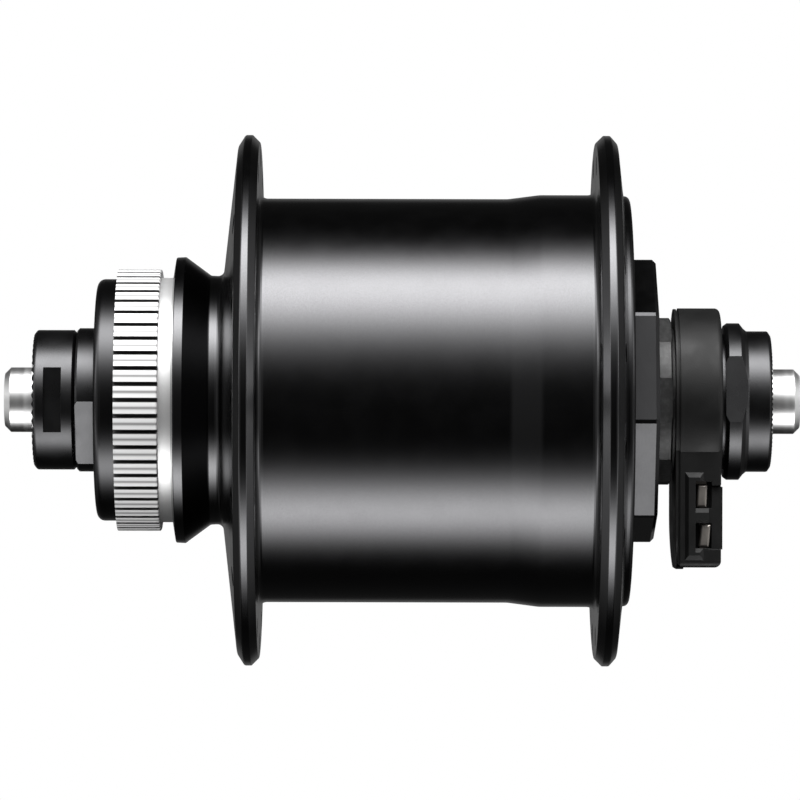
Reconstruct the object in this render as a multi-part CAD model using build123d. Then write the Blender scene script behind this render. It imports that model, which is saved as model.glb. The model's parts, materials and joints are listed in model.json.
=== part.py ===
from build123d import *
import math
import os

# Bicycle front hub with a built-in generator, as separate pieces. Millimetres.
# The axle lies along Y with the disc-brake side at +Y, Z is up, and -X is the near side,
# where the plug block shows its live contact. The origin is on the axle, half way
# between the two locknut faces. Angles are elevations above -X, turned about the axle.

# Axle and dropout faces
AXLE_LENGTH = 108.0
LOCKNUT_FACE = 50.0
THREAD_R = 4.5
SPIGOT_R = 4.4
SKEWER_R = 2.6
AXLE_CHAMFER = 0.8
RELIEF_R = 4.1
RELIEF_WIDTH = 0.8
THREAD_GAP = 0.05
LEFT_NUT_R = 9.5
LEFT_NUT_INNER = 44.2
LEFT_CONE_R = 9.76
LEFT_CONE_CHAMFER = 0.3
RIGHT_NUT_R = 10.66
RIGHT_NUT_COLLAR_R = 9.57

# Shell
BARREL_R = 27.45
CAVITY_R = 25.6
CAVITY_LEFT = 17.0
CAP_FACE = -29.83
FLANGE_R = 36.1
LEFT_SPOKE_CIRCLE_R = 33.0
RIGHT_SPOKE_CIRCLE_R = 32.4
SPOKE_HOLE_R = 1.3
SPOKES_PER_FLANGE = 16
SPIGOT_SEAT_R = 14.5
SHELL_LEFT = 31.0

# Disc mount
SPLINE_R = 17.8
SPLINE_ROOT_R = 16.45
SPLINE_TEETH = 52
SPLINE_GAP = 0.5
SPLINE_LOW = 32.7
SPLINE_HIGH = 38.6
COLLAR_R = 16.44
COLLAR_END = 41.4
LOCKRING_R = 15.25
LOCKRING_DEPTH = 8.0

# Bearings
BALL_R = 2.381
RACE_R = 2.43
POCKET_R = 2.46
CUP_R = 12.6
LEFT_PITCH_R = 9.4
LEFT_BALL_Y = 29.0
LEFT_BALL_COUNT = 10
RIGHT_PITCH_R = 10.2
RIGHT_BALL_Y = -28.5
RIGHT_BALL_COUNT = 11

# Generator
POLE_PAIRS = 14
STATOR_LEFT = 9.0
STATOR_RIGHT = -17.0
YOKE_PLATE = 2.0
CLAW_OUTER_R = 21.4
CLAW_THICKNESS = 2.0
MAGNET_INNER_R = 21.8
MAGNET_OUTER_R = 24.3
MAGNET_COUNT = 4
MAGNET_SPAN = 88.0

# Plug block
PLATE_INNER = -36.8
BLOCK_INNER = -37.15
BLOCK_OUTER = -43.1
BLOCK_RING_R = 12.67
LEG_OUTER = -42.9
LEG_HALF_WIDTH = 10.7
LEG_BOTTOM = -22.35
LEG_CORNER = 0.9
SEAM_WIDTH = 0.25
SEAM_DEPTH = 0.4
FRAME_HEIGHT = 0.5
CONTACT_X = -10.1
CONTACT_BACK_X = -8.6
RECESS_Y = -41.25
RECESS_LOW = -19.9
RECESS_HIGH = -11.25

# Lead from the coil to the plug block
LEAD_R = 0.55
LEAD_Z = -3.8
LEAD_START_Y = -14.35
LEAD_DOWN_Y = -38.5
LEAD_END_Z = -9.6

# A length that is longer than any cut has to be
FAR = 90.0


def turned(*profile):
    """Solid of revolution about the axle, from (radius, y) or (radius, y, corner radius) points."""
    face = make_face(Polyline(*[point[:2] for point in profile], close=True))
    for radius, y, corner in [point for point in profile if len(point) == 3]:
        vertex = face.vertices().sort_by_distance((radius, y, 0))[0]
        face = fillet(vertex, corner)
    return revolve(face, Axis.Y, 360)


def ring(inner, outer, y_low, y_high):
    """Plain ring about the axle."""
    return turned((inner, y_low), (outer, y_low), (outer, y_high), (inner, y_high))


def around(count, tool, start=0.0):
    """Copies of a tool spread evenly about the axle."""
    return [Rot(0, start + 360.0 * i / count, 0) * tool for i in range(count)]


def block(x, y, z):
    """Box from three (low, high) ranges."""
    size = [high - low for low, high in (x, y, z)]
    middle = [(high + low) / 2 for low, high in (x, y, z)]
    return Pos(*middle) * Box(*size)


def flats(half_across, y_low, y_high, angle):
    """Two blocks that cut a pair of spanner flats, one of them facing the given elevation."""
    pair = [
        block((half_across, FAR), (y_low, y_high), (-FAR, FAR)),
        block((-FAR, -half_across), (y_low, y_high), (-FAR, FAR)),
    ]
    return [Rot(0, angle, 0) * side for side in pair]


def prism(sides, half_across, y_low, y_high, angle):
    """Regular prism along the axle with one of its flats facing the given elevation."""
    corner_r = half_across / math.cos(math.pi / sides)
    outline = RegularPolygon(corner_r, sides)
    solid = extrude(outline, y_high - y_low)
    flat_angle = 180.0 / sides
    return Pos(0, y_high, 0) * Rot(0, angle + flat_angle, 0) * Rot(90, 0, 0) * solid


def serrations(face_y, inward, count, depth, inner, outer):
    """V grooves across a nut's end face, which leave radial ridges. inward is +1 or -1."""
    half_width = math.pi * outer / count * 0.8
    groove = Plane.YZ * make_face(
        Polyline((face_y, -half_width), (face_y, half_width), (face_y + inward * depth, 0), close=True)
    )
    return around(count, extrude(Pos(inner, 0, 0) * groove, outer - inner + 1))


def ball_track(pitch_r, y):
    """The torus that a bearing's balls roll in."""
    return Pos(0, y, 0) * Rot(90, 0, 0) * Torus(pitch_r, RACE_R)


def balls(count, pitch_r, y, radius):
    """Bearing balls, or the pockets for them."""
    return around(count, Pos(pitch_r, y, 0) * Sphere(radius))


# ---- axle, locknuts and cones -------------------------------------------------


def hub_axle():
    half = AXLE_LENGTH / 2
    thread_end = LOCKNUT_FACE - RELIEF_WIDTH
    axle = turned(
        (SKEWER_R, -half),
        (SPIGOT_R - AXLE_CHAMFER, -half),
        (SPIGOT_R, -half + AXLE_CHAMFER),
        (SPIGOT_R, -LOCKNUT_FACE),
        (RELIEF_R, -LOCKNUT_FACE),
        (RELIEF_R, -thread_end),
        (THREAD_R, -thread_end),
        (THREAD_R, thread_end),
        (RELIEF_R, thread_end),
        (RELIEF_R, LOCKNUT_FACE),
        (SPIGOT_R, LOCKNUT_FACE),
        (SPIGOT_R, half - AXLE_CHAMFER),
        (SPIGOT_R - AXLE_CHAMFER, half),
        (SKEWER_R, half),
    )
    lead_groove = block((-0.7, 0.7), (LEAD_DOWN_Y - 0.8, LEAD_START_Y + 0.7), (-FAR, LEAD_Z + 0.6))
    return axle - lead_groove


def left_locknut():
    nut = turned(
        (THREAD_R + THREAD_GAP, LEFT_NUT_INNER),
        (LEFT_NUT_R - 0.4, LEFT_NUT_INNER),
        (LEFT_NUT_R, LEFT_NUT_INNER + 0.4),
        (LEFT_NUT_R, 49.55, 0.4),
        (8.95, LOCKNUT_FACE, 0.3),
        (THREAD_R + THREAD_GAP, LOCKNUT_FACE),
    )
    nut -= flats(8.43, 46.0, 48.4, 0)
    return nut - serrations(LOCKNUT_FACE, -1, 48, 0.3, 5.6, LEFT_NUT_R)


def left_cone():
    cone = turned(
        (THREAD_R + THREAD_GAP, 27.6),
        (7.2, 27.6),
        (8.6, 31.2),
        (8.6, 32.9),
        (LEFT_CONE_R, 33.4),
        (LEFT_CONE_R, LEFT_NUT_INNER - THREAD_GAP - LEFT_CONE_CHAMFER),
        (LEFT_CONE_R - LEFT_CONE_CHAMFER, LEFT_NUT_INNER - THREAD_GAP),
        (THREAD_R + THREAD_GAP, LEFT_NUT_INNER - THREAD_GAP),
    )
    cone -= ball_track(LEFT_PITCH_R, LEFT_BALL_Y)
    return cone - flats(8.4, 39.0, LEFT_NUT_INNER, -32)


def left_dust_cover():
    return turned(
        (LEFT_CONE_R + THREAD_GAP, 33.8),
        (14.6, 33.8),
        (14.6, 34.4, 0.25),
        (10.4, 34.4),
        (10.4, 35.2),
        (LEFT_CONE_R + THREAD_GAP, 35.2),
    )


def right_cone():
    cone = turned(
        (THREAD_R + THREAD_GAP, -25.4),
        (8.0, -25.4),
        (9.2, -30.6),
        (9.2, -35.0),
        (THREAD_R + THREAD_GAP, -35.0),
    )
    cone -= ball_track(RIGHT_PITCH_R, RIGHT_BALL_Y)
    head = prism(6, 10.93, PLATE_INNER, -34.45, 0.5)
    head &= turned(
        (THREAD_R + THREAD_GAP, -34.45),
        (11.1, -34.45),
        (11.35, -34.65),
        (11.35, -36.2),
        (11.1, -36.4),
        (9.8, -36.4),
        (9.8, PLATE_INNER),
        (THREAD_R + THREAD_GAP, PLATE_INNER),
    )
    return cone + head


def right_lock_washer():
    return ring(THREAD_R + THREAD_GAP, 9.2, -43.6, BLOCK_OUTER)


def right_locknut():
    nut = turned(
        (THREAD_R + THREAD_GAP, -43.6),
        (10.3, -43.6),
        (RIGHT_NUT_R, -44.1),
        (RIGHT_NUT_R, -45.75, 0.15),
        (9.95, -46.3, 0.15),
        (RIGHT_NUT_COLLAR_R, -46.75, 0.2),
        (RIGHT_NUT_COLLAR_R, -49.6, 0.35),
        (8.95, -LOCKNUT_FACE, 0.2),
        (THREAD_R + THREAD_GAP, -LOCKNUT_FACE),
    )
    nut -= flats(9.65, -46.75, -43.5, 10)
    return nut - serrations(-LOCKNUT_FACE, 1, 80, 0.2, 5.6, RIGHT_NUT_R)


# ---- turning parts ------------------------------------------------------------


def hub_shell():
    shell = turned(
        # bore, from the cap to the disc side
        (CAVITY_R, CAP_FACE),
        (CAVITY_R, STATOR_LEFT),
        (22.5, STATOR_LEFT),
        (22.5, CAVITY_LEFT, 1.0),
        (12.0, CAVITY_LEFT),
        (12.0, 25.0),
        (SPIGOT_SEAT_R, 25.0),
        (SPIGOT_SEAT_R, SHELL_LEFT),
        # cone flange and neck
        (17.2, SHELL_LEFT),
        (19.4, 30.65, 0.15),
        (19.46, 29.4, 0.15),
        (16.95, 26.0, 0.6),
        (16.86, 24.3, 0.9),
        # disc-side spoke flange
        (18.6, 24.07),
        (34.6, 22.25, 1.0),
        (FLANGE_R, 21.3, 0.4),
        (FLANGE_R, 20.37, 0.2),
        (35.05, 19.35, 0.3),
        # barrel
        (BARREL_R, 19.35, 1.0),
        (BARREL_R, -14.3, 6.0),
        (BARREL_R + 0.56, -18.6, 6.0),
        (BARREL_R + 0.56, -26.15, 1.0),
        # plug-side spoke flange
        (35.05, -26.15, 0.3),
        (FLANGE_R, -27.2, 0.2),
        (FLANGE_R, -28.1, 0.4),
        (35.0, -29.05, 0.6),
        (29.9, -29.6),
        (28.3, CAP_FACE),
    )
    hole = Rot(90, 0, 0) * Cylinder(SPOKE_HOLE_R, 8)
    half_pitch = 180.0 / SPOKES_PER_FLANGE
    shell -= around(SPOKES_PER_FLANGE, Pos(LEFT_SPOKE_CIRCLE_R, 21.5, 0) * hole)
    shell -= around(SPOKES_PER_FLANGE, Pos(RIGHT_SPOKE_CIRCLE_R, -28.0, 0) * hole, half_pitch)
    return shell


def thread_groove(y):
    """One V groove of the lockring thread, drawn as a plain ring."""
    return turned((LOCKRING_R - 0.1, y - 0.42), (LOCKRING_R + 0.3, y), (LOCKRING_R - 0.1, y + 0.42))


def rotor_spline_carrier():
    carrier = turned(
        (CUP_R, 25.0),
        (SPIGOT_SEAT_R, 25.0),
        (SPIGOT_SEAT_R, SHELL_LEFT),
        (16.63, SHELL_LEFT),
        (16.63, SPLINE_LOW),
        (SPLINE_R - 0.15, SPLINE_LOW),
        (SPLINE_R, SPLINE_LOW + 0.15),
        (SPLINE_R, SPLINE_HIGH - 0.05),
        (SPLINE_R - 0.05, SPLINE_HIGH),
        (COLLAR_R, SPLINE_HIGH),
        (COLLAR_R, COLLAR_END, 1.05),
        (LOCKRING_R, COLLAR_END),
        (LOCKRING_R, COLLAR_END - LOCKRING_DEPTH),
        (CUP_R, COLLAR_END - LOCKRING_DEPTH),
    )
    gap = block(
        (SPLINE_ROOT_R, SPLINE_R + 1),
        (SPLINE_LOW - 0.01, SPLINE_HIGH + 0.01),
        (-SPLINE_GAP / 2, SPLINE_GAP / 2),
    )
    carrier -= around(SPLINE_TEETH, gap)
    for turn in range(int(LOCKRING_DEPTH) - 1):
        carrier -= thread_groove(COLLAR_END - 1.0 - turn)
    return carrier


def left_bearing_cup():
    cup = turned(
        (10.0, 25.0),
        (CUP_R, 25.0),
        (CUP_R, 33.0),
        (11.6, 33.0),
        (11.6, 30.4),
        (10.0, 26.4),
    )
    return cup - ball_track(LEFT_PITCH_R, LEFT_BALL_Y)


def left_seal():
    return turned(
        (9.0, 32.45),
        (11.6, 32.2),
        (11.6, 33.0),
        (9.0, 32.75),
    )


def hub_cap():
    bore = 13.4
    shaft_hole = 10.4
    cap = turned(
        (bore, -25.0),
        (15.4, -25.0),
        (15.4, CAP_FACE + 2.0, 0.8),
        (22.6, CAP_FACE + 2.0, 0.8),
        (22.6, -24.2),
        (CAVITY_R, -24.2),
        (CAVITY_R, CAP_FACE),
        (27.9, CAP_FACE),
        (27.9, -30.8, 0.75),
        (bore, -30.8),
    )
    seal_groove = ring(24.7, CAVITY_R + 1, -28.4, -27.4)
    boss = prism(8, 18.0, -34.35, -30.8, -30.5)
    boss = chamfer(boss.edges().filter_by(Axis.Y), 0.3)
    boss = chamfer(boss.faces().sort_by(Axis.Y)[0].edges(), 0.5)
    boss -= ring(0, bore, -31.7, -30.0)
    boss -= ring(0, shaft_hole, -35.0, -31.0)
    return cap + boss - seal_groove


def right_bearing_cup():
    cup = turned(
        (11.0, -25.0),
        (13.4, -25.0),
        (13.4, -30.4),
        (12.5, -30.4),
        (12.5, -29.9),
        (11.0, -26.0),
    )
    return cup - ball_track(RIGHT_PITCH_R, RIGHT_BALL_Y)


def right_seal():
    return turned(
        (9.55, -33.0),
        (10.4, -33.2),
        (10.4, -32.2),
        (9.55, -32.6),
    )


def cap_seal_ring():
    return turned(
        (24.75, -28.35),
        (25.5, -28.35, 0.2),
        (25.5, -27.45, 0.2),
        (24.75, -27.45),
    )


def magnet_yoke_ring():
    return ring(MAGNET_OUTER_R, CAVITY_R - THREAD_GAP, STATOR_RIGHT, STATOR_LEFT)


def magnet(index):
    face = Pos((MAGNET_INNER_R + MAGNET_OUTER_R) / 2, (STATOR_LEFT + STATOR_RIGHT) / 2) * Rectangle(
        MAGNET_OUTER_R - MAGNET_INNER_R, STATOR_LEFT - STATOR_RIGHT
    )
    return Rot(0, 360.0 * index / MAGNET_COUNT, 0) * revolve(face, Axis.Y, MAGNET_SPAN)


# ---- ball cages ---------------------------------------------------------------


def ball_cage(count, pitch_r, ball_y, outward):
    """Ring on the outer side of the balls, with fingers between them."""
    near = ball_y + outward * 0.8
    far = ball_y + outward * 2.9
    cage = ring(pitch_r - 0.45, pitch_r + 1.7, min(near, far), max(near, far))
    return cage - balls(count, pitch_r, ball_y, POCKET_R)


# ---- stator -------------------------------------------------------------------


def claw_yoke(plate_y, inward, start):
    """Plate with a ring of tapered pole claws that reach across the coil. inward is +1 or -1."""
    plate_end = plate_y + inward * YOKE_PLATE
    tip = STATOR_LEFT + STATOR_RIGHT - plate_y - inward * 0.6
    claw_inner_r = CLAW_OUTER_R - CLAW_THICKNESS
    plate_range = (min(plate_y, plate_end), max(plate_y, plate_end))
    claw_range = (min(plate_y, tip), max(plate_y, tip))
    wide = math.pi * CLAW_OUTER_R / POLE_PAIRS * 0.36
    narrow = wide * 0.72
    outline = Polyline(
        (plate_y, -wide),
        (plate_end, -wide),
        (tip, -narrow),
        (tip, narrow),
        (plate_end, wide),
        (plate_y, wide),
        close=True,
    )
    blade = extrude(Pos(15.0, 0, 0) * (Plane.YZ * make_face(outline)), CLAW_OUTER_R - 14.0)
    envelope = ring(claw_inner_r, CLAW_OUTER_R, *claw_range) + ring(16.0, CLAW_OUTER_R, *plate_range)
    plate = ring(THREAD_R + THREAD_GAP, claw_inner_r - 0.4, *plate_range)
    return plate + around(POLE_PAIRS, blade & envelope, start)


def lead_notch():
    """Radial notch at the coil's plug-side end, for the lead."""
    return block((-0.7, 0.7), (STATOR_RIGHT + YOKE_PLATE - 1, LEAD_START_Y + 0.7), (-11.4, 0))


def stator_core():
    core = ring(THREAD_R + THREAD_GAP, 10.2, STATOR_RIGHT + YOKE_PLATE, STATOR_LEFT - YOKE_PLATE)
    return core - lead_notch()


def coil_bobbin():
    low = STATOR_RIGHT + YOKE_PLATE
    high = STATOR_LEFT - YOKE_PLATE
    wall = 1.0
    bobbin = turned(
        (10.25, low),
        (18.9, low),
        (18.9, low + wall),
        (11.3, low + wall),
        (11.3, high - wall),
        (18.9, high - wall),
        (18.9, high),
        (10.25, high),
    )
    return bobbin - lead_notch()


def coil_winding():
    low = STATOR_RIGHT + YOKE_PLATE + 1.0
    high = STATOR_LEFT - YOKE_PLATE - 1.0
    return ring(11.3 + THREAD_GAP, 18.4, low, high)


def stator_washer(y_low):
    return ring(THREAD_R + THREAD_GAP, 8.5, y_low, y_low + 1.0)


def stator_nut(y_low):
    thickness = 3.5
    nut = prism(6, 7.0, y_low, y_low + thickness, 0)
    nut &= turned(
        (THREAD_R + THREAD_GAP, y_low),
        (7.3, y_low),
        (7.9, y_low + 0.4),
        (7.9, y_low + thickness - 0.4),
        (7.3, y_low + thickness),
        (THREAD_R + THREAD_GAP, y_low + thickness),
    )
    return nut


def output_lead():
    """Wire from the coil, down to the axle, along its groove and out into the plug block."""
    route = FilletPolyline(
        (0, LEAD_START_Y, -11.3),
        (0, LEAD_START_Y, LEAD_Z),
        (0, LEAD_DOWN_Y, LEAD_Z),
        (0, LEAD_DOWN_Y, LEAD_END_Z),
        radius=1.2,
    )
    return sweep(Plane(origin=route @ 0, z_dir=route % 0) * Circle(LEAD_R), path=route)


# ---- plug block ---------------------------------------------------------------


def connector_back_plate():
    """Thin plate behind the block. Its inner face curves back towards the leg's lower end."""
    lower_end = -22.7
    lip_end = -38.05
    curve_start = (PLATE_INNER, -15.0)
    curve_end = (BLOCK_INNER + 0.07, lower_end)
    leg_end = LEG_BOTTOM - 0.05
    side = make_face(
        Polyline((BLOCK_INNER, 14.0), (PLATE_INNER, 14.0), curve_start)
        + TangentArc(curve_start, curve_end, tangent=(0, -1))
        + Polyline(curve_end, (lip_end, lower_end), (lip_end, leg_end), (BLOCK_INNER, leg_end), (BLOCK_INNER, 14.0))
    )
    slab = extrude(Plane.YZ * side, 20, both=True)
    leg = Rectangle(2 * LEG_HALF_WIDTH, -lower_end, align=(Align.CENTER, Align.MAX))
    leg = fillet(leg.vertices().sort_by(Axis.Y)[:2], 6.0)
    outline = Circle(BLOCK_RING_R - 0.1) + leg - Circle(THREAD_R + THREAD_GAP)
    envelope = Rot(90, 0, 0) * extrude(outline, 60)
    return slab & envelope


def contact_window(z_low, z_high, sill_low, sill_high):
    """Opening in the near side of the leg, in front of one contact pad, with sloped sills."""
    outer_x = -LEG_HALF_WIDTH - FRAME_HEIGHT - 0.05
    sill_x = outer_x + 0.5
    floor_x = -9.4
    outline = Polyline(
        (outer_x, z_low - sill_low),
        (sill_x, z_low),
        (floor_x, z_low),
        (floor_x, z_high),
        (sill_x, z_high),
        (outer_x, z_high + sill_high),
        close=True,
    )
    return Pos(0, -39.45, 0) * extrude(Plane.XZ * make_face(outline), 2.2)


def leg_side():
    """Bevelled frame on the near side of the leg, to add, and its pockets, to cut."""
    face_x = -LEG_HALF_WIDTH
    top_x = face_x - FRAME_HEIGHT
    base = Pos(face_x, -39.3, -15.45) * Rot(0, -90, 0) * Rectangle(11.8, 2.5)
    top = Pos(top_x, -39.3, -15.45) * Rot(0, -90, 0) * Rectangle(10.5, 1.55)
    frame = loft([base.face(), top.face()])
    frame += block((top_x, -10.0), (RECESS_Y, -39.4), (-16.35, -14.35))
    cuts = [
        contact_window(-14.35, -10.75, 0.65, 0.05),
        contact_window(-19.75, -16.35, 0.6, 0.4),
        block((-9.4, CONTACT_BACK_X), (-41.65, -39.45), (-20.0, -10.2)),
        block((-12.0, -10.0), (-44.0, RECESS_Y), (RECESS_LOW, RECESS_HIGH)),
        block((-12.0, -9.5), (-44.0, RECESS_Y), (RECESS_HIGH - 0.25, RECESS_HIGH)),
    ]
    return frame, cuts


def connector_body():
    seam = BLOCK_INNER - SEAM_WIDTH
    body = turned(
        (THREAD_R + THREAD_GAP, BLOCK_OUTER),
        (BLOCK_RING_R, BLOCK_OUTER, 0.7),
        (BLOCK_RING_R, seam),
        (BLOCK_RING_R - SEAM_DEPTH, seam),
        (BLOCK_RING_R - SEAM_DEPTH, BLOCK_INNER),
        (THREAD_R + THREAD_GAP, BLOCK_INNER),
    )
    leg = block((-LEG_HALF_WIDTH, LEG_HALF_WIDTH), (LEG_OUTER, seam), (LEG_BOTTOM, 0))
    lower_edges = leg.edges().group_by(Axis.Z)[0].sort_by(Axis.Y)
    leg = fillet(lower_edges[:-1], LEG_CORNER)
    inner_half = LEG_HALF_WIDTH - SEAM_DEPTH
    leg += block((-inner_half, inner_half), (seam, BLOCK_INNER), (LEG_BOTTOM + SEAM_DEPTH, 0))
    leg += block((-10.0, 10.0), (LEG_OUTER - 0.22, LEG_OUTER), (RECESS_LOW, RECESS_HIGH - 0.25))
    body += leg - ring(0, BLOCK_RING_R - 1, BLOCK_OUTER - 1, BLOCK_INNER + 1)
    frame, cuts = leg_side()
    body = body + frame + mirror(frame, about=Plane.YZ)
    for cut in cuts:
        body = body - cut - mirror(cut, about=Plane.YZ)
    lead_hole = block((-0.7, 0.7), (LEAD_DOWN_Y - 0.7, BLOCK_INNER + 1), (LEAD_END_Z, 0))
    return body - lead_hole - lead_tag(0.05)


def contact_strip():
    """Contact strip on the near side of the leg: a back strip with two raised, slightly turned pads."""
    strip = block((-9.1, CONTACT_BACK_X), (-41.0, -40.1), (-20.0, -10.2))
    for y, z, turn in ((-40.35, -12.7, 2.0), (-40.75, -18.05, 5.0)):
        pad = block((CONTACT_X, -9.1), (-0.7, 0.7), (-1.55, 1.55))
        pad = fillet(pad.faces().sort_by(Axis.X)[0].edges(), 0.35)
        strip += Pos(0, y, z) * Rot(turn, 0, 0) * pad
    return strip


def lead_tag(grow):
    """Tag that runs from the live contact strip in to the lead, or the slot for it."""
    low = -10.2 - grow
    high = LEAD_END_Z + grow
    link = block((-9.1 - grow, CONTACT_BACK_X + grow), (-40.5, -38.0 + grow), (low - 1.0, high))
    tag = block((-9.1 - grow, 0.8 + grow), (-39.2 - grow, -38.0 + grow), (low, high))
    return link + tag


def live_terminal():
    return contact_strip() + lead_tag(0)


def earth_terminal():
    return mirror(contact_strip(), about=Plane.YZ)


PIECES = {
    "hub_axle": hub_axle,
    "left_locknut": left_locknut,
    "left_cone": left_cone,
    "left_dust_cover": left_dust_cover,
    "right_cone": right_cone,
    "right_lock_washer": right_lock_washer,
    "right_locknut": right_locknut,
    "hub_shell": hub_shell,
    "rotor_spline_carrier": rotor_spline_carrier,
    "left_bearing_cup": left_bearing_cup,
    "left_seal": left_seal,
    "hub_cap": hub_cap,
    "right_bearing_cup": right_bearing_cup,
    "right_seal": right_seal,
    "cap_seal_ring": cap_seal_ring,
    "magnet_yoke_ring": magnet_yoke_ring,
    "left_ball_cage": lambda: ball_cage(LEFT_BALL_COUNT, LEFT_PITCH_R, LEFT_BALL_Y, 1),
    "left_balls": lambda: Part() + balls(LEFT_BALL_COUNT, LEFT_PITCH_R, LEFT_BALL_Y, BALL_R),
    "right_ball_cage": lambda: ball_cage(RIGHT_BALL_COUNT, RIGHT_PITCH_R, RIGHT_BALL_Y, -1),
    "right_balls": lambda: Part() + balls(RIGHT_BALL_COUNT, RIGHT_PITCH_R, RIGHT_BALL_Y, BALL_R),
    "left_claw_yoke": lambda: claw_yoke(STATOR_LEFT, -1, 0),
    "right_claw_yoke": lambda: claw_yoke(STATOR_RIGHT, 1, 180.0 / POLE_PAIRS),
    "stator_core": stator_core,
    "coil_bobbin": coil_bobbin,
    "coil_winding": coil_winding,
    "left_stator_washer": lambda: stator_washer(STATOR_LEFT),
    "left_stator_nut": lambda: stator_nut(STATOR_LEFT + 1.0),
    "right_stator_washer": lambda: stator_washer(STATOR_RIGHT - 1.0),
    "right_stator_nut": lambda: stator_nut(STATOR_RIGHT - 4.5),
    "output_lead": output_lead,
    "connector_back_plate": connector_back_plate,
    "connector_body": connector_body,
    "live_terminal": live_terminal,
    "earth_terminal": earth_terminal,
}
for index in range(MAGNET_COUNT):
    PIECES[f"magnet_{index + 1}"] = lambda index=index: magnet(index)

os.makedirs("parts", exist_ok=True)
for name, make in PIECES.items():
    piece = make()
    export_step(piece, f"parts/{name}.step")
    print(name, round(piece.volume, 1))
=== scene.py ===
import json
import math

import bmesh
import bpy
from mathutils import Matrix, Vector


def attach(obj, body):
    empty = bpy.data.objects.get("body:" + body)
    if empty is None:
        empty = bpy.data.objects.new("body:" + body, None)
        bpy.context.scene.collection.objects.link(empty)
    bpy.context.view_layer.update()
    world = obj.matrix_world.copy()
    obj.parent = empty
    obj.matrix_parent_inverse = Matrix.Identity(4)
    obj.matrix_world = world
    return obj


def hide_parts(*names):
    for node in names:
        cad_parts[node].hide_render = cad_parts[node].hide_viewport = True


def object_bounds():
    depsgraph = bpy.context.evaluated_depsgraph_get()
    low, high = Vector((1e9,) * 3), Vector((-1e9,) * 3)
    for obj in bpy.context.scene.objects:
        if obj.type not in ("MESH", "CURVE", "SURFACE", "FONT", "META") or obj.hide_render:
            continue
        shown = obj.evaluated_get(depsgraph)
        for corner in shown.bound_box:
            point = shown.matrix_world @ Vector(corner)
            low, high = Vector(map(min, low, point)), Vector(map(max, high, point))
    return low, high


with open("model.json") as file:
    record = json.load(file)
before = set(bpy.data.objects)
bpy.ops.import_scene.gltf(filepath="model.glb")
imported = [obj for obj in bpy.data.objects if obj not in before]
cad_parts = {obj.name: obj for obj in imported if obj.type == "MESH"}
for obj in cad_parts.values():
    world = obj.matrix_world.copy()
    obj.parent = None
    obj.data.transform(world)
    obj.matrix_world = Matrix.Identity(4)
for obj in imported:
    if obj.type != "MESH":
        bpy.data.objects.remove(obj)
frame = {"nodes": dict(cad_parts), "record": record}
cad_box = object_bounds()

scene = bpy.context.scene
scene.view_settings.view_transform = "Standard"

# Blender works in metres. The part's own sizes below are in millimetres, and MM converts them.
MM = 0.001
SPLINE_TEETH = 52
SPOKES_PER_FLANGE = 16
SPOKE_HOLE_R = 1.3
LEFT_CIRCLE_R = 33.0
RIGHT_CIRCLE_R = 32.4
# each flange's (radius of the hole circle, y of the drill's middle, angle of the first hole in degrees)
SPOKE_CIRCLES = ((LEFT_CIRCLE_R, 21.5, 0.0), (RIGHT_CIRCLE_R, -28.0, 180.0 / SPOKES_PER_FLANGE))


# ---- node tree helpers --------------------------------------------------------


class Tree:
    """Short calls for building a node tree."""

    def __init__(self, tree):
        self.tree = tree
        tree.nodes.clear()

    def node(self, kind, inputs=None, **settings):
        made = self.tree.nodes.new(kind)
        for key, value in settings.items():
            setattr(made, key, value)
        for key, value in (inputs or {}).items():
            if isinstance(value, bpy.types.NodeSocket):
                self.tree.links.new(value, made.inputs[key])
            else:
                made.inputs[key].default_value = value
        return made

    def math(self, operation, a, b=0.0, c=0.0):
        return self.node("ShaderNodeMath", {0: a, 1: b, 2: c}, operation=operation).outputs[0]

    def ramp(self, value, low, high, start=0.0, end=1.0):
        """start below low, end above high, smooth between."""
        made = self.node(
            "ShaderNodeMapRange",
            {"Value": value, "From Min": low, "From Max": high, "To Min": start, "To Max": end},
            interpolation_type="SMOOTHSTEP",
        )
        return made.outputs[0]

    def mix(self, share, a, b):
        made = self.node("ShaderNodeMix", {0: share, 6: a, 7: b}, data_type="RGBA")
        return made.outputs[2]

    def blend(self, share, a, b):
        made = self.node("ShaderNodeMix", {0: share, 2: a, 3: b}, data_type="FLOAT")
        return made.outputs[0]

    def bell(self, value, centre, width):
        """Gaussian bump of value about a centre. The width may be a socket."""
        offset = self.math("DIVIDE", self.math("SUBTRACT", value, centre), width)
        return self.math("EXPONENT", self.math("MULTIPLY", self.math("MULTIPLY", offset, offset), -1.0))

    def noise(self, place, scale, detail=3.0):
        return self.node("ShaderNodeTexNoise", {"Vector": place, "Scale": scale, "Detail": detail}).outputs[0]


def grey(value):
    return (value, value, value, 1.0)


# ---- light --------------------------------------------------------------------

# Elevations, and widths in elevation, are degrees about the axle from the camera's side. How far a
# direction leans along the axle runs from 0 to 1.
KEY_LIGHT = {"elevation": 68.5, "above": 16.0, "below": 25.3, "strength": 15.0}
LOW_LIGHT = {"elevation": -66.0, "width": 17.1, "strength": 8.3}
FRONT_REACH = {"full_to": 0.22, "faded_by": 0.75, "left": 0.3}
ROOM_GLOW = {"width": 40.0, "lean": 0.3, "lean_width": 0.16, "strength": 0.22}
REAR_LIGHT = {"elevation": 105.0, "width": 25.0, "strength": 0.7}
SIDE_GLOW = 0.15
SIDE_FILL = {"elevation": 10.0, "width": 70.0, "strength": 0.45}
BACK_GLOW = 0.15
AMBIENT = 0.022


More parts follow.
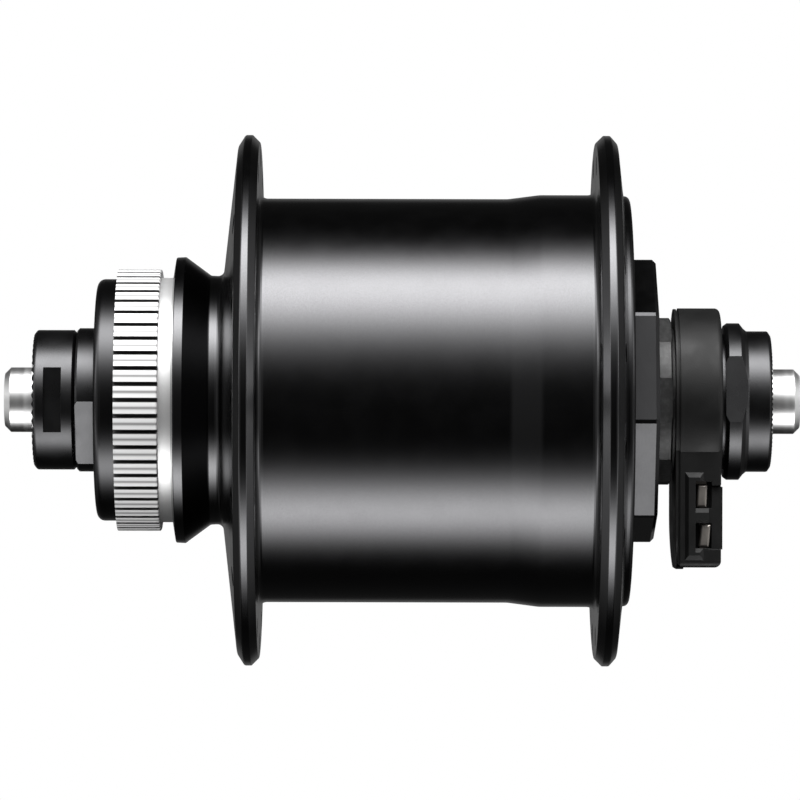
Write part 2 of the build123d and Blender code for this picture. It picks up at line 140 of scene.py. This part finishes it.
def build_world():
    """Two long soft lights over and under the front, softer ones at the sides, and a white backdrop."""
    world = bpy.data.worlds.new("studio")
    scene.world = world
    world.use_nodes = True
    t = Tree(world.node_tree)
    direction = t.node("ShaderNodeTexCoord").outputs["Generated"]
    split = t.node("ShaderNodeSeparateXYZ", {0: direction})
    x, y, z = split.outputs[0], split.outputs[1], split.outputs[2]
    front = t.math("MULTIPLY", x, -1.0)
    elevation = t.math("MULTIPLY", t.math("ARCTAN2", z, front), 180.0 / math.pi)
    lean = t.math("ABSOLUTE", y)

    def bar(light, width):
        """Long light that lies along the axle at one elevation."""
        return t.math("MULTIPLY", t.bell(elevation, light["elevation"], width), light["strength"])

    is_above = t.math("GREATER_THAN", elevation, KEY_LIGHT["elevation"])
    key = bar(KEY_LIGHT, t.blend(is_above, KEY_LIGHT["below"], KEY_LIGHT["above"]))
    low = bar(LOW_LIGHT, LOW_LIGHT["width"])
    reach = t.ramp(lean, FRONT_REACH["full_to"], FRONT_REACH["faded_by"], 1.0, FRONT_REACH["left"])
    front_lights = t.math("MULTIPLY", t.math("ADD", key, low), reach)
    glow_along = t.bell(lean, ROOM_GLOW["lean"], ROOM_GLOW["lean_width"])
    room = t.math("MULTIPLY", t.bell(elevation, 0.0, ROOM_GLOW["width"]), glow_along)
    behind = t.bell(t.math("ABSOLUTE", elevation), REAR_LIGHT["elevation"], REAR_LIGHT["width"])
    behind = t.math("MULTIPLY_ADD", behind, REAR_LIGHT["strength"], SIDE_GLOW)
    sides = t.math("MULTIPLY", t.ramp(lean, 0.45, 0.9), behind)
    fill = t.math("MULTIPLY", t.ramp(lean, 0.45, 0.8), bar(SIDE_FILL, SIDE_FILL["width"]))
    total = t.math("ADD", front_lights, AMBIENT)
    total = t.math("MULTIPLY_ADD", room, ROOM_GLOW["strength"], total)
    total = t.math("ADD", total, sides)
    total = t.math("ADD", total, fill)
    total = t.math("MULTIPLY_ADD", t.ramp(x, 0.9, 1.0), BACK_GLOW, total)
    lit = t.node("ShaderNodeBackground", {"Color": grey(1.0), "Strength": total})
    backdrop = t.node("ShaderNodeBackground", {"Color": grey(1.0), "Strength": 1.0})
    seen = t.node("ShaderNodeLightPath").outputs["Is Camera Ray"]
    mixed = t.node("ShaderNodeMixShader", {0: seen, 1: lit.outputs[0], 2: backdrop.outputs[0]})
    t.node("ShaderNodeOutputWorld", {"Surface": mixed.outputs[0]})


def build_camera():
    """Long lens at axle height, square to the axle, on the near side."""
    place = Matrix.Translation((-0.85, 0.0003, 0.00009))
    aim = Matrix.Rotation(math.radians(-90), 4, "Z") @ Matrix.Rotation(math.radians(90), 4, "X")
    roll = Matrix.Rotation(math.radians(0.15), 4, "Z")
    data = bpy.data.cameras.new("camera")
    data.sensor_width = 36.0
    data.lens = 281.0
    data.clip_start = 0.05
    camera = bpy.data.objects.new("camera", data)
    scene.collection.objects.link(camera)
    camera.matrix_world = place @ aim @ roll
    scene.camera = camera


def build_floor():
    """Plain pale floor disc well under the part, fading out towards its rim."""
    rim = 0.78
    drop = 0.084
    bm = bmesh.new()
    bmesh.ops.create_circle(bm, cap_ends=True, segments=96, radius=rim)
    floor = as_object(bm, "floor")
    floor.location.z = cad_box[0][2] - drop
    material = bpy.data.materials.new("pale_floor")
    material.use_nodes = True
    t = Tree(material.node_tree)
    place = t.node("ShaderNodeTexCoord").outputs["Object"]
    far = t.node("ShaderNodeVectorMath", {0: place}, operation="LENGTH").outputs["Value"]
    fade = t.ramp(far, 0.25, rim - 0.02)
    paint = t.mix(t.noise(place, 40.0), grey(0.215), grey(0.23))
    shader = t.node("ShaderNodeBsdfDiffuse", {"Color": paint})
    clear = t.node("ShaderNodeBsdfTransparent")
    mixed = t.node("ShaderNodeMixShader", {0: fade, 1: shader.outputs[0], 2: clear.outputs[0]})
    t.node("ShaderNodeOutputMaterial", {"Surface": mixed.outputs[0]})
    floor.data.materials.append(material)
    floor.visible_glossy = False
    floor.visible_diffuse = False


# ---- materials ----------------------------------------------------------------


class Finish:
    """One procedural material, in the part's own frame. Arguments that end in mm are millimetres."""

    def __init__(self, name):
        self.material = bpy.data.materials.new(name)
        self.material.use_nodes = True
        self.t = Tree(self.material.node_tree)
        self.place = self.t.node("ShaderNodeTexCoord").outputs["Object"]
        split = self.t.node("ShaderNodeSeparateXYZ", {0: self.place})
        self.x, self.y, self.z = split.outputs[0], split.outputs[1], split.outputs[2]
        square = self.t.math("MULTIPLY", self.x, self.x)
        square = self.t.math("MULTIPLY_ADD", self.z, self.z, square)
        self.radius = self.t.math("SQRT", square)

    def turning(self, per_mm):
        """Noise that changes only along the axle and with radius, like lathe marks."""
        marks = self.t.node("ShaderNodeCombineXYZ", {0: self.y, 1: self.radius})
        return self.t.noise(marks.outputs[0], per_mm / MM, 2.0)

    def grain(self, per_mm):
        return self.t.noise(self.place, per_mm / MM)

    def relief(self, height, strength, distance_mm, edge_mm=0.0):
        """Bump from a height, over slightly rounded edges."""
        inputs = {"Height": height, "Strength": strength, "Distance": distance_mm * MM}
        if edge_mm:
            inputs["Normal"] = self.t.node("ShaderNodeBevel", {"Radius": edge_mm * MM}, samples=4).outputs[0]
        return self.t.node("ShaderNodeBump", inputs).outputs[0]

    def close(self, colour, metallic, roughness, normal, specular=0.5):
        shader = self.t.node(
            "ShaderNodeBsdfPrincipled",
            {
                "Base Color": colour,
                "Metallic": metallic,
                "Roughness": roughness,
                "Normal": normal,
                "Specular IOR Level": specular,
            },
        )
        self.t.node("ShaderNodeOutputMaterial", {"Surface": shader.outputs[0]})
        return self.material


def tinted(value, warm):
    return (value * (1 + warm), value, value * (1 - warm), 1.0)


def cool(value):
    return (value, value, value * 1.03, 1.0)


def in_spoke_hole(f):
    """1 inside the spoke holes, 0 elsewhere."""
    t = f.t
    on_right = t.math("LESS_THAN", f.y, 0.0)
    pitch = 2 * math.pi / SPOKES_PER_FLANGE
    turns = t.math("DIVIDE", t.math("ARCTAN2", f.z, f.x), pitch)
    turns = t.math("MULTIPLY_ADD", on_right, 0.5, turns)
    offset = t.math("SUBTRACT", t.math("FRACT", t.math("ADD", turns, SPOKES_PER_FLANGE + 0.5)), 0.5)
    along = t.math("MULTIPLY", t.math("MULTIPLY", offset, pitch), f.radius)
    circle = t.blend(on_right, LEFT_CIRCLE_R * MM, RIGHT_CIRCLE_R * MM)
    out = t.math("SUBTRACT", f.radius, circle)
    away = t.math("SQRT", t.math("MULTIPLY_ADD", out, out, t.math("MULTIPLY", along, along)))
    return t.ramp(away, (SPOKE_HOLE_R + 0.03) * MM, (SPOKE_HOLE_R + 0.08) * MM, 1.0, 0.0)


def dark_metal(name, base, roughness, mark_strength, grain_strength, marks=2.0, edge_mm=0.0,
               painted_hole_shade=False, worn=None):
    """Anodised or plated black metal: a dark metallic surface with lathe marks and fine grain.

    The hole switch paints shade inside the spoke holes: a near-black colour on a duller surface. worn is a
    (low, high) stretch of the axle, in millimetres, where spanner faces have gone matt."""
    f = Finish(name)
    rings = f.turning(marks)
    grain = f.grain(14.0)
    cloud = f.grain(0.25)
    height = f.t.math("MULTIPLY_ADD", rings, mark_strength, f.t.math("MULTIPLY", grain, grain_strength))
    normal = f.relief(height, 1.0, 0.05, edge_mm)
    rough = f.t.ramp(cloud, 0.3, 0.7, roughness * 0.9, roughness * 1.12)
    colour = f.t.mix(f.t.ramp(grain, 0.35, 0.65), cool(base * 0.88), cool(base * 1.1))
    metallic = 1.0
    if painted_hole_shade:
        # painted shade: the spoke holes' walls, and a hair round their rims, are coloured near black
        hole = in_spoke_hole(f)
        colour = f.t.mix(hole, colour, grey(0.002))
        rough = f.t.blend(hole, rough, 0.6)
    if worn:
        low, high = worn
        above_low = f.t.ramp(f.y, (low - 0.05) * MM, low * MM)
        below_high = f.t.ramp(f.y, high * MM, (high + 0.05) * MM, 1.0, 0.0)
        band = f.t.math("MULTIPLY", above_low, below_high)
        matt = f.t.mix(f.t.ramp(f.grain(1.6), 0.35, 0.7), grey(0.014), grey(0.032))
        colour = f.t.mix(band, colour, matt)
        rough = f.t.blend(band, rough, 0.5)
        metallic = f.t.blend(band, 1.0, 0.25)
    return f.close(colour, metallic, rough, normal)


def bright_metal(name, base, roughness, strength, marks=3.0, warm=0.0):
    """Bare or ground metal with lathe marks."""
    f = Finish(name)
    rings = f.turning(marks)
    grain = f.grain(9.0)
    height = f.t.math("ADD", rings, f.t.math("MULTIPLY", grain, 0.5))
    normal = f.relief(height, strength, 0.05, edge_mm=0.05)
    rough = f.t.ramp(f.turning(0.6), 0.3, 0.7, roughness * 0.85, roughness * 1.2)
    colour = f.t.mix(grain, tinted(base * 0.93, warm), tinted(base, warm))
    return f.close(colour, 1.0, rough, normal)


def soft_solid(name, colour, roughness, strength, grain=6.0, specular=0.5):
    """Plastic, rubber or ceramic with a fine moulded grain."""
    f = Finish(name)
    fine = f.grain(grain)
    cloud = f.grain(0.3)
    normal = f.relief(fine, strength, 0.04, edge_mm=0.08)
    rough = f.t.ramp(cloud, 0.3, 0.7, roughness * 0.9, roughness * 1.15)
    darker = tuple(0.8 * c for c in colour[:3]) + (1.0,)
    return f.close(f.t.mix(fine, darker, colour), 0.0, rough, normal, specular=specular)


def spline_carrier():
    """Bright turned aluminium with a black collar; the grooves between the splines are painted dark as shade,
    and each land has a painted darker line along its middle.
    """
    neck_to_spline = (32.6, 32.8)
    spline_to_collar = (38.62, 38.68)
    root_clears = (16.2, 16.3)
    groove_to_crest = (17.55, 17.72)
    f = Finish("bare_aluminium")
    t = f.t

    def across(value, limits, start=0.0, end=1.0):
        return t.ramp(value, limits[0] * MM, limits[1] * MM, start, end)

    collar = across(f.y, spline_to_collar)
    on_spline = t.math("MULTIPLY", across(f.y, neck_to_spline), across(f.radius, root_clears))
    # painted shade: mask for the grooves between the teeth, which are coloured dark
    groove_shade = t.math("MULTIPLY", on_spline, across(f.radius, groove_to_crest, 1.0, 0.0))
    rings = f.turning(2.5)
    grain = f.grain(8.0)
    height = t.math("ADD", rings, t.math("MULTIPLY", grain, 0.6))
    normal = f.relief(height, 0.05, 0.05)
    # place across each tooth, from 0 at one groove's middle to 1 at the next, with the crest at 0.5
    teeth_passed = t.math("MULTIPLY", t.math("ARCTAN2", f.z, f.x), SPLINE_TEETH / (2 * math.pi))
    on_tooth = t.math("FRACT", t.math("ADD", teeth_passed, SPLINE_TEETH))
    # painted shade: a darker line down the middle of each land
    land_centre_shade = t.math("MULTIPLY", t.bell(on_tooth, 0.5, 0.1), on_spline)
    # painted shade: each land darkens towards the groove on either side
    groove_edge_shade = t.ramp(t.math("ABSOLUTE", t.math("SUBTRACT", on_tooth, 0.5)), 0.34, 0.37)
    land = t.mix(t.math("MULTIPLY", land_centre_shade, 0.85), grey(0.62), grey(0.1))
    land = t.mix(t.math("MAXIMUM", groove_shade, groove_edge_shade), land, grey(0.05))
    neck = t.mix(grain, grey(0.52), grey(0.6))
    bare = t.mix(on_spline, neck, land)
    black = t.mix(grain, cool(0.03), cool(0.036))
    colour = t.mix(collar, bare, black)
    rough = t.blend(collar, t.blend(on_spline, 0.42, 0.55), 0.24)
    metallic = t.blend(collar, t.blend(on_spline, 0.7, 0.2), 1.0)
    return f.close(colour, metallic, rough, normal)


def wound_wire():
    """Layers of enamelled wire, shown as fine turns round the bobbin, with painted shade over half of each
    turn.
    """
    wire_pitch = 0.6
    f = Finish("copper_wire")
    t = f.t
    turns = t.math("SINE", t.math("MULTIPLY", f.y, 2 * math.pi / (wire_pitch * MM)))
    grain = f.grain(5.0)
    normal = f.relief(t.math("MULTIPLY_ADD", turns, 0.5, grain), 0.5, 0.1)
    # painted shade: half of each turn is coloured darker, as shade between the wires
    colour = t.mix(t.ramp(turns, -1.0, 0.0), (0.22, 0.07, 0.02, 1), (0.62, 0.26, 0.09, 1))
    return f.close(colour, 1.0, t.ramp(grain, 0.3, 0.7, 0.25, 0.38), normal)


def build_materials():
    """One material for each slot of the record."""
    return {
        "black_anodised": dark_metal("black_anodised", 0.05, 0.17, 0.012, 0.01, marks=3.0, painted_hole_shade=True),
        "black_cap": dark_metal("black_cap", 0.03, 0.24, 0.015, 0.015),
        "black_steel": dark_metal("black_steel", 0.039, 0.29, 0.04, 0.05, edge_mm=0.05, worn=(-36.9, -34.4)),
        "bare_aluminium": spline_carrier(),
        "bare_steel": bright_metal("bare_steel", 0.6, 0.38, 0.06, marks=2.0),
        "bearing_steel": bright_metal("bearing_steel", 0.72, 0.14, 0.02, marks=6.0),
        "cage_steel": bright_metal("cage_steel", 0.5, 0.32, 0.08, warm=0.05),
        "yoke_steel": bright_metal("yoke_steel", 0.42, 0.4, 0.1, marks=1.0),
        "magnet_ferrite": soft_solid("magnet_ferrite", grey(0.05), 0.5, 0.3, grain=4.0),
        "copper_wire": wound_wire(),
        "bobbin_plastic": soft_solid("bobbin_plastic", (0.7, 0.67, 0.58, 1), 0.42, 0.1),
        "black_plastic": soft_solid("black_plastic", grey(0.005), 0.48, 0.3, grain=5.0, specular=0.17),
        "contact_metal": bright_metal("contact_metal", 0.22, 0.42, 0.12, marks=1.5, warm=0.08),
        "seal_rubber": soft_solid("seal_rubber", grey(0.01), 0.55, 0.3, grain=3.0),
        "lead_sleeve": soft_solid("lead_sleeve", (0.35, 0.02, 0.015, 1), 0.4, 0.1),
    }


# ---- hub shell and cap meshes --------------------------------------------------

BARREL_R = 27.45
BAND_R = BARREL_R + 0.56
# a hair under the CAD's 36.1, so that the visible rim stays inside the CAD's own mesh
FLANGE_R = 36.08
CAVITY_R = 25.6
CAP_FACE = -29.83

# Profiles are closed runs of (radius, y, optional corner radius). The shell's goes from the cap's seat
# along the cavity, out over the neck and both flanges, and back.
SHELL_PROFILE = (
    (CAVITY_R, CAP_FACE),
    (CAVITY_R, 9.0),
    (22.5, 9.0),
    (22.5, 17.0, 1.0),
    (12.0, 17.0),
    (12.0, 25.0),
    (14.5, 25.0),
    (14.5, 31.0),
    (17.2, 31.0, 0.05),
    (19.4, 30.65, 0.15),
    (19.46, 29.4, 0.15),
    (16.95, 26.0, 0.6),
    (16.86, 24.3, 0.9),
    (18.6, 24.07),
    (34.6, 22.25, 1.0),
    (FLANGE_R, 21.3, 0.4),
    (FLANGE_R, 20.37, 0.2),
    (35.05, 19.35, 0.3),
    (BARREL_R, 19.35, 1.0),
    (BARREL_R, -14.3, 6.0),
    (BAND_R, -18.6, 6.0),
    (BAND_R, -26.15, 1.0),
    (35.05, -26.15, 0.3),
    (FLANGE_R, -27.2, 0.2),
    (FLANGE_R, -28.1, 0.4),
    (35.0, -29.05, 0.6),
    (29.9, -29.6),
    (28.3, CAP_FACE),
)

CAP_BORE = 13.4
CAP_OUTER = -30.8
CAP_PROFILE = (
    (CAP_BORE, -25.0),
    (15.4, -25.0),
    (15.4, CAP_FACE + 2.0, 0.8),
    (22.6, CAP_FACE + 2.0, 0.8),
    (22.6, -24.2),
    (CAVITY_R, -24.2),
    (CAVITY_R, -27.4),
    (24.7, -27.4),
    (24.7, -28.4),
    (CAVITY_R, -28.4),
    (CAVITY_R, CAP_FACE),
    (27.9, CAP_FACE),
    (27.9, CAP_OUTER, 0.75),
    (CAP_BORE, CAP_OUTER),
)

# Eight-sided spanner boss on the cap
BOSS_SIDES = 8
BOSS_HALF_ACROSS = 18.0
BOSS_CORNER_FLAT = 0.3
BOSS_CHAMFER = 0.5
BOSS_FIRST_FLAT_DEG = -30.5
BOSS_INNER = -30.5
BOSS_OUTER = -34.35
BOSS_RECESS_R = 10.4


def rounded(profile, steps=6):
    """Profile points in order, with an arc at every corner that has a radius."""
    points = []
    for i, point in enumerate(profile):
        corner = Vector(point[:2])
        if len(point) == 2:
            points.append(corner)
            continue
        back = (Vector(profile[i - 1][:2]) - corner).normalized()
        ahead = (Vector(profile[(i + 1) % len(profile)][:2]) - corner).normalized()
        half = back.angle(ahead) / 2
        centre = corner + (back + ahead).normalized() * (point[2] / math.sin(half))
        start = corner + back * (point[2] / math.tan(half)) - centre
        end = corner + ahead * (point[2] / math.tan(half)) - centre
        turn = math.atan2(start.x * end.y - start.y * end.x, start.dot(end))
        for step in range(steps + 1):
            angle = turn * step / steps
            across = Vector((-start.y, start.x))
            points.append(centre + start * math.cos(angle) + across * math.sin(angle))
    return points


def held_edges(points, margin=0.03):
    """Extra points close to both ends of each long stretch, so that its shading stays flat."""
    out = []
    for i, point in enumerate(points):
        out.append(point)
        along = points[(i + 1) % len(points)] - point
        if along.length > 6 * margin:
            out.append(point + along.normalized() * margin)
            out.append(point + along - along.normalized() * margin)
    return out


def lathe(points, segments=240):
    """Closed ring surface about the axle from (radius, y) points in millimetres."""
    bm = bmesh.new()
    rings = []
    for step in range(segments):
        angle = 2 * math.pi * step / segments
        across, up = MM * math.cos(angle), MM * math.sin(angle)
        rings.append([bm.verts.new((p.x * across, p.y * MM, p.x * up)) for p in points])
    for step in range(segments):
        here, following = rings[step], rings[(step + 1) % segments]
        for i in range(len(points)):
            j = (i + 1) % len(points)
            bm.faces.new((here[i], here[j], following[j], following[i]))
    bmesh.ops.recalc_face_normals(bm, faces=bm.faces)
    return bm


def as_object(bm, name):
    """Object in the scene with a bmesh's faces. The bmesh is used up."""
    mesh = bpy.data.meshes.new(name)
    bm.to_mesh(mesh)
    bm.free()
    made = bpy.data.objects.new(name, mesh)
    scene.collection.objects.link(made)
    return made


def smooth_by_angle(mesh, limit_deg=18.0):
    """Smooth shading, with an edge wherever two faces meet more sharply than the limit."""
    bm = bmesh.new()
    bm.from_mesh(mesh)
    for face in bm.faces:
        face.smooth = True
    for edge in bm.edges:
        edge.smooth = len(edge.link_faces) == 2 and edge.calc_face_angle(0.0) < math.radians(limit_deg)
    bm.to_mesh(mesh)
    bm.free()


def combined(body, tool, operation):
    """Boolean of two objects, left in the first one's mesh. The tool is used up."""
    step = body.modifiers.new("step", "BOOLEAN")
    step.object = tool
    step.operation = operation
    step.solver = "EXACT"
    bpy.context.view_layer.update()
    evaluated = body.evaluated_get(bpy.context.evaluated_depsgraph_get())
    mesh = bpy.data.meshes.new_from_object(evaluated)
    body.modifiers.clear()
    body.data = mesh
    bpy.data.objects.remove(tool)


def finished(body, name, stands_for, rides_on, slot):
    """Shade a piece, give it its material and put it in a CAD piece's place."""
    smooth_by_angle(body.data)
    body.data.materials.clear()
    body.data.materials.append(MATERIALS[slot])
    body.name = name
    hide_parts(stands_for)
    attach(body, rides_on)


def add_cylinder(bm, radius, length, centre, segments):
    """Closed cylinder parallel to the axle. All lengths are millimetres."""
    place = Matrix.Translation([MM * c for c in centre]) @ Matrix.Rotation(math.radians(90), 4, "X")
    bmesh.ops.create_cone(bm, cap_ends=True, segments=segments, radius1=radius * MM, radius2=radius * MM,
                          depth=length * MM, matrix=place)


def round_tool(radius, y_low, y_high):
    """Cylinder on the axle's line, to cut a round recess with."""
    bm = bmesh.new()
    add_cylinder(bm, radius, y_high - y_low, (0.0, (y_low + y_high) / 2, 0.0), 180)
    return as_object(bm, "round_tool")


def boss_outline(inset):
    """Spanner flats with a small flat on each corner; (x, z) points in millimetres."""
    half_turn = math.pi / BOSS_SIDES
    corner_r = BOSS_HALF_ACROSS / math.cos(half_turn) - BOSS_CORNER_FLAT * math.sin(half_turn) - inset
    flat_r = BOSS_HALF_ACROSS - inset
    reach = (corner_r - flat_r * math.cos(half_turn)) / math.sin(half_turn)
    points = []
    for i in range(BOSS_SIDES):
        angle = math.radians(BOSS_FIRST_FLAT_DEG + 360.0 / BOSS_SIDES * i)
        facing = Vector((-math.cos(angle), math.sin(angle)))
        along = Vector((math.sin(angle), math.cos(angle)))
        points.append(facing * flat_r - along * reach)
        points.append(facing * flat_r + along * reach)
    return points


def build_boss():
    """Octagonal spanner boss of the cap as a closed solid, with its outer edge chamfered."""
    sections = ((0.0, BOSS_INNER), (0.0, BOSS_OUTER + BOSS_CHAMFER), (BOSS_CHAMFER, BOSS_OUTER))
    bm = bmesh.new()
    rings = []
    for inset, y in sections:
        rings.append([bm.verts.new((p.x * MM, y * MM, p.y * MM)) for p in boss_outline(inset)])
    for low, high in zip(rings, rings[1:]):
        for i in range(len(low)):
            j = (i + 1) % len(low)
            bm.faces.new((low[i], low[j], high[j], high[i]))
    bm.faces.new(rings[0])
    bm.faces.new(rings[-1])
    bmesh.ops.recalc_face_normals(bm, faces=bm.faces)
    return as_object(bm, "boss")


def build_cap():
    """Plug-side cap: rim, seal groove, bearing seat and octagonal spanner boss."""
    body = as_object(lathe(held_edges(rounded(CAP_PROFILE))), "cap_body")
    boss = build_boss()
    combined(boss, round_tool(CAP_BORE, -31.7, -30.0), "DIFFERENCE")
    combined(boss, round_tool(BOSS_RECESS_R, -35.0, -31.0), "DIFFERENCE")
    combined(body, boss, "UNION")
    finished(body, "turned_hub_cap", "hub_cap", "shell", "black_cap")


def build_shell():
    """Barrel, both spoke flanges, neck and cone flange, with the spoke holes cut through."""
    drill_length = 8.0
    body = as_object(lathe(held_edges(rounded(SHELL_PROFILE))), "shell_body")
    drills = bmesh.new()
    for circle_r, y, first_deg in SPOKE_CIRCLES:
        for i in range(SPOKES_PER_FLANGE):
            angle = math.radians(first_deg + 360.0 * i / SPOKES_PER_FLANGE)
            centre = (circle_r * math.cos(angle), y, -circle_r * math.sin(angle))
            add_cylinder(drills, SPOKE_HOLE_R, drill_length, centre, 32)
    combined(body, as_object(drills, "spoke_drills"), "DIFFERENCE")
    finished(body, "turned_hub_shell", "hub_shell", "shell", "black_anodised")


# ---- the scene ----------------------------------------------------------------

MATERIALS = build_materials()
slot_of = {part["node"]: part["material_slot"] for part in frame["record"]["subparts"]}
for name, piece in frame["nodes"].items():
    piece.data.materials.clear()
    piece.data.materials.append(MATERIALS[slot_of[name]])

build_shell()
build_cap()
build_world()
build_camera()
build_floor()
